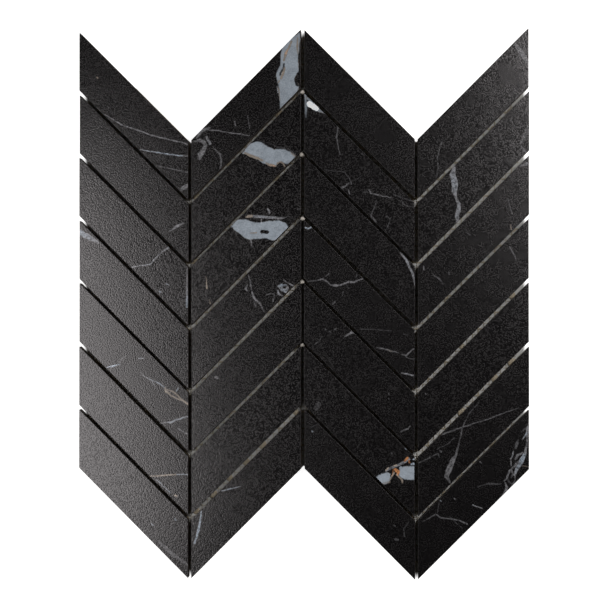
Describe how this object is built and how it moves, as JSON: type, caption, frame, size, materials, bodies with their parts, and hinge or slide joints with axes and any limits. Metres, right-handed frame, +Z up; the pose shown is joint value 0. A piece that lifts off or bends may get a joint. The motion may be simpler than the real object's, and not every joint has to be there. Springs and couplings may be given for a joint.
{
  "type": "chevron wall tile",
  "caption": "Mosaic sheet of slanted black marble-look porcelain chips in mirrored columns that form stacked chevrons, held on an open mesh backing, lying flat with its face up",
  "frame": {"origin": "centre of the sheet's outline, on the plane that it lies on", "axes": "Z up out of the glazed face, Y along the columns towards the picture's top, X across the columns towards the picture's right"},
  "size_m": [0.2758, 0.3362, 0.0095],
  "materials": {
    "porcelain": "satin",
    "mesh": "matte"
  },
  "bodies": {
    "root": {"column_1_chip_1": "porcelain", "column_1_chip_2": "porcelain", "column_1_chip_3": "porcelain", "column_1_chip_4": "porcelain", "column_1_chip_5": "porcelain", "column_1_chip_6": "porcelain", "column_1_chip_7": "porcelain", "mesh_column_1": "mesh", "column_2_chip_1": "porcelain", "column_2_chip_2": "porcelain", "column_2_chip_3": "porcelain", "column_2_chip_4": "porcelain", "column_2_chip_5": "porcelain", "column_2_chip_6": "porcelain", "column_2_chip_7": "porcelain", "mesh_column_2": "mesh", "column_3_chip_1": "porcelain", "column_3_chip_2": "porcelain", "column_3_chip_3": "porcelain", "column_3_chip_4": "porcelain", "column_3_chip_5": "porcelain", "column_3_chip_6": "porcelain", "column_3_chip_7": "porcelain", "mesh_column_3": "mesh", "column_4_chip_1": "porcelain", "column_4_chip_2": "porcelain", "column_4_chip_3": "porcelain", "column_4_chip_4": "porcelain", "column_4_chip_5": "porcelain", "column_4_chip_6": "porcelain", "column_4_chip_7": "porcelain", "mesh_column_4": "mesh"}
  },
  "joints": []
}
